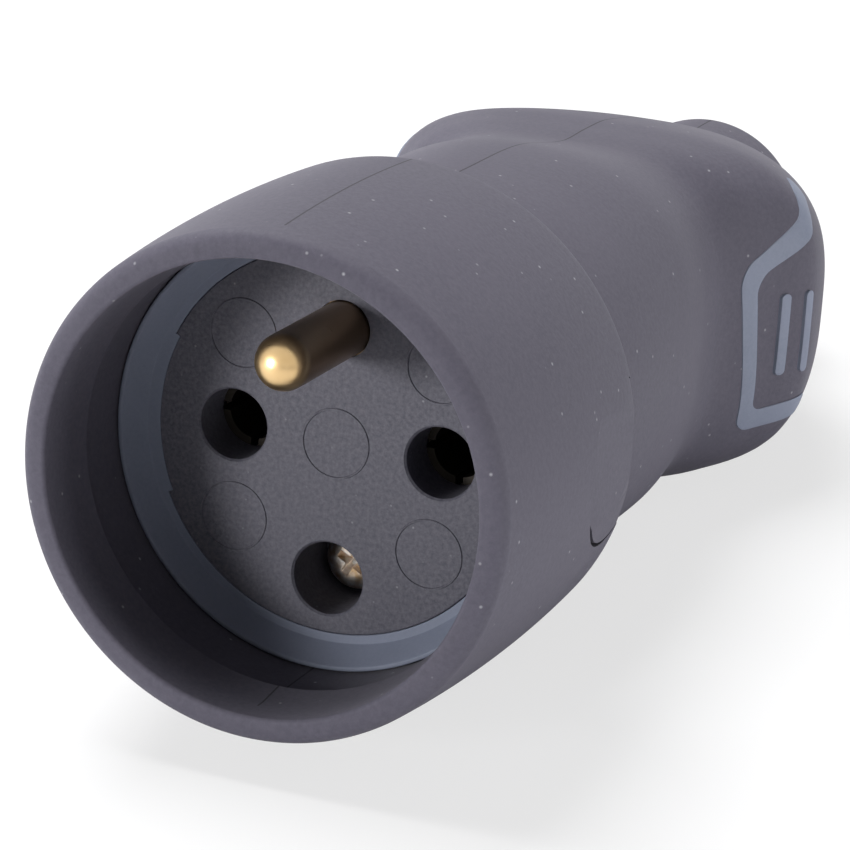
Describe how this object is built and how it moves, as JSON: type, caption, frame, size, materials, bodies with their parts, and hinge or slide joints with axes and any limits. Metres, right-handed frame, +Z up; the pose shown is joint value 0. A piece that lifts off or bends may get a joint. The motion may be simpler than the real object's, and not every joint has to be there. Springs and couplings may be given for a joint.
{
  "type": "rubber socket",
  "caption": "Portable rubber mains socket with a sealed round well, two pin entries, an earth pin and a winged grip with a cable outlet.",
  "frame": {"origin": "centre of the insert's front face, on which a plug seats", "axes": "+Y along the axis away from the plug to the cable outlet, +Z up through the earth pin, +X to the right as the plug side is looked at"},
  "size_m": [0.0456, 0.1117, 0.0446],
  "materials": {
    "black_rubber": "matte moulded rubber, slightly dusty",
    "grey_rubber": "soft blue-grey moulded rubber",
    "insert_plastic": "fine-grained hard black plastic",
    "pin_brass": "turned brass",
    "screw_steel": "bright zinc-plated steel"
  },
  "bodies": {
    "root": {"front_sleeve": "black_rubber", "rear_handle": "black_rubber", "cable_seal": "black_rubber", "seal_ring": "grey_rubber", "grip_frame_right": "grey_rubber", "grip_frame_left": "grey_rubber", "grip_ribs_right": "grey_rubber", "grip_ribs_left": "grey_rubber", "contact_insert": "insert_plastic", "contact_cover": "insert_plastic", "cord_clamp": "insert_plastic", "handle_core": "insert_plastic", "captive_washer": "insert_plastic", "earth_pin": "pin_brass", "live_contact": "pin_brass", "neutral_contact": "pin_brass", "screw_nut": "pin_brass", "contact_springs": "screw_steel", "terminal_screws": "screw_steel", "assembly_screw": "screw_steel", "clamp_screws": "screw_steel"}
  },
  "joints": []
}
